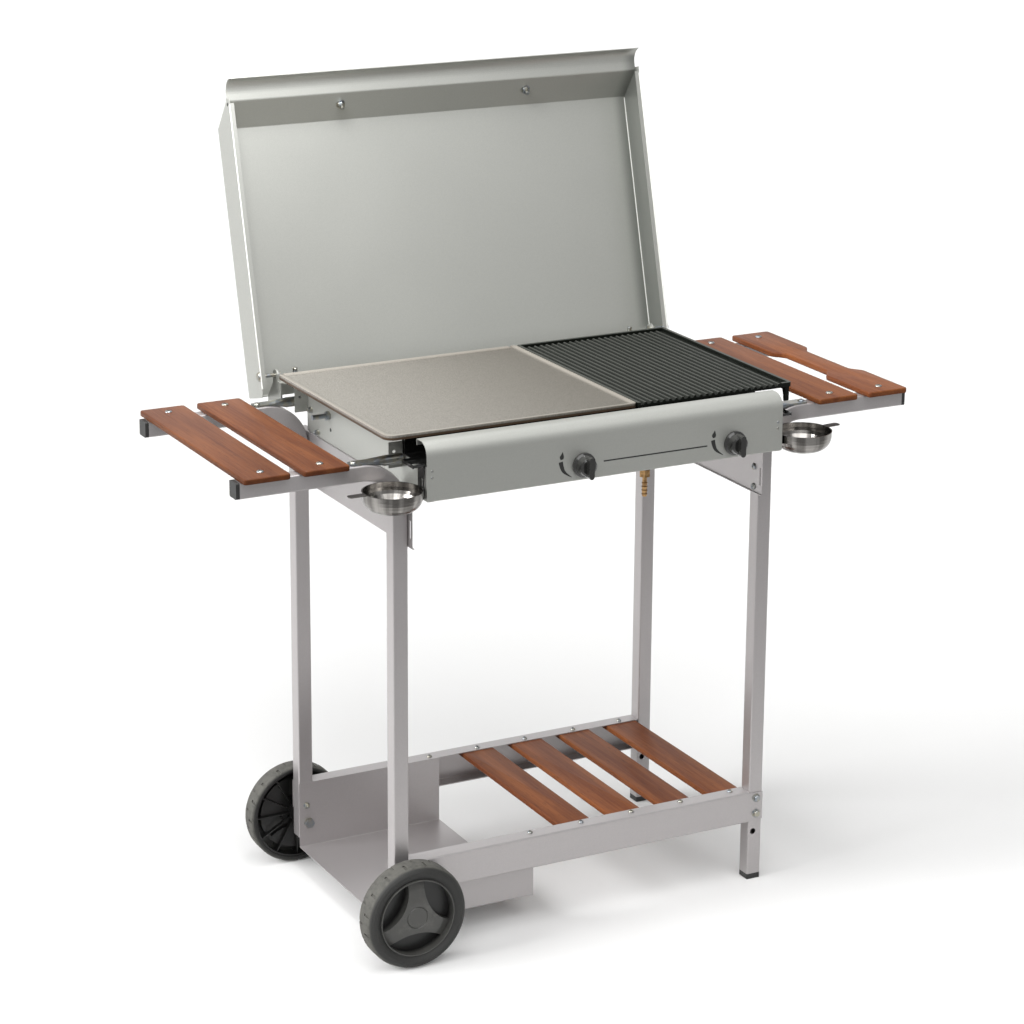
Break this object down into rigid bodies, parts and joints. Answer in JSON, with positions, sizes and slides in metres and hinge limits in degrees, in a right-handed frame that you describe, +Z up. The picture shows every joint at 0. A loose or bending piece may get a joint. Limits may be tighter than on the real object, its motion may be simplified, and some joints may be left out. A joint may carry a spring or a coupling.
{
  "type": "gas grill",
  "caption": "Gas grill on a wheeled trolley with a hinged lid, smooth griddle and ribbed grill plate, wooden side shelves, grease cups, slatted lower shelf and gas bottle tray.",
  "frame": {"origin": "centre of the bounding box on the floor, with the lid open", "axes": "+X to the right seen from the front, where the wheels are on the left, +Y to the back, +Z up"},
  "size_m": [1.168, 0.6768, 1.3017],
  "materials": {
    "frame_paint": "satin silver grey",
    "body_paint": "satin light grey",
    "wood": "oiled reddish brown",
    "black_plastic": "satin",
    "black_enamel": "gloss black",
    "wheel_hub": "satin",
    "tyre": "dusty",
    "griddle_steel": "satin",
    "cast_iron": "enamelled",
    "stainless": "polished",
    "zinc": "zinc plated",
    "brass": "plain",
    "knob_black": "gloss"
  },
  "bodies": {
    "trolley": {"leg_front_left": "frame_paint", "leg_back_left": "frame_paint", "leg_front_right": "frame_paint", "leg_back_right": "frame_paint", "foot_caps": "black_plastic", "arm_end_caps": "black_plastic", "lower_rail_front": "frame_paint", "lower_rail_back": "frame_paint", "shelf_slat_1": "wood", "shelf_slat_2": "wood", "shelf_slat_3": "wood", "shelf_slat_4": "wood", "bottle_tray": "frame_paint", "stub_axle_front": "zinc", "stub_axle_back": "zinc", "side_panel_left": "frame_paint", "side_panel_right": "frame_paint", "side_slat_left_inner": "wood", "side_slat_left_outer": "wood", "side_slat_right_inner": "wood", "side_slat_right_grip": "wood", "stays_left": "zinc", "stays_right": "zinc", "body_side_left": "body_paint", "body_side_right": "body_paint", "side_studs": "zinc", "front_panel": "body_paint", "back_panel": "body_paint", "drip_pan": "body_paint", "grease_gutter": "black_enamel", "cup_hanger_left": "black_enamel", "cup_hanger_right": "black_enamel", "burner_left": "stainless", "burner_right": "stainless", "gas_manifold": "stainless", "valve_left": "brass", "valve_right": "brass", "hose_inlet": "brass", "hinge_bracket_left": "body_paint", "hinge_bracket_right": "body_paint", "hinge_pins": "zinc"},
    "wheel_front": {"wheel_hub_front": "wheel_hub", "wheel_tyre_front": "tyre"},
    "wheel_back": {"wheel_hub_back": "wheel_hub", "wheel_tyre_back": "tyre"},
    "knob_left": {"knob_left": "knob_black"},
    "knob_right": {"knob_right": "knob_black"},
    "griddle": {"griddle": "griddle_steel"},
    "grill_plate": {"grill_plate": "cast_iron"},
    "lid": {"lid_shell": "body_paint", "lid_cheek_left": "body_paint", "lid_cheek_right": "body_paint", "lid_handle": "wood", "handle_spacers": "zinc"},
    "cup_left": {"grease_cup_left": "stainless"},
    "cup_right": {"grease_cup_right": "stainless"}
  },
  "joints": [
    {"name": "lid_hinge", "type": "hinge", "parent": "trolley", "child": "lid", "pos_m": [0, 0.16686, 0.8398], "axis": [-1, 0, 0], "range_deg": [-104.7, 0]},
    {"name": "wheel_front_spin", "type": "hinge", "parent": "trolley", "child": "wheel_front", "pos_m": [-0.3175, -0.27344, 0.084], "axis": [0, 1, 0], "continuous": true},
    {"name": "wheel_back_spin", "type": "hinge", "parent": "trolley", "child": "wheel_back", "pos_m": [-0.3175, 0.18056, 0.084], "axis": [0, 1, 0], "continuous": true},
    {"name": "knob_left_turn", "type": "hinge", "parent": "trolley", "child": "knob_left", "pos_m": [-0.046, -0.31494, 0.777], "axis": [0, -1, 0], "range_deg": [0, 200]},
    {"name": "knob_right_turn", "type": "hinge", "parent": "trolley", "child": "knob_right", "pos_m": [0.221, -0.31494, 0.777], "axis": [0, -1, 0], "range_deg": [0, 200]},
    {"name": "griddle_lift", "type": "slide", "parent": "trolley", "child": "griddle", "axis": [0, 0, 1], "range_m": [0, 0.06]},
    {"name": "grill_plate_lift", "type": "slide", "parent": "trolley", "child": "grill_plate", "axis": [0, 0, 1], "range_m": [0, 0.06]},
    {"name": "cup_left_lift", "type": "slide", "parent": "trolley", "child": "cup_left", "axis": [0, 0, 1], "range_m": [0, 0.012]},
    {"name": "cup_right_lift", "type": "slide", "parent": "trolley", "child": "cup_right", "axis": [0, 0, 1], "range_m": [0, 0.012]}
  ]
}
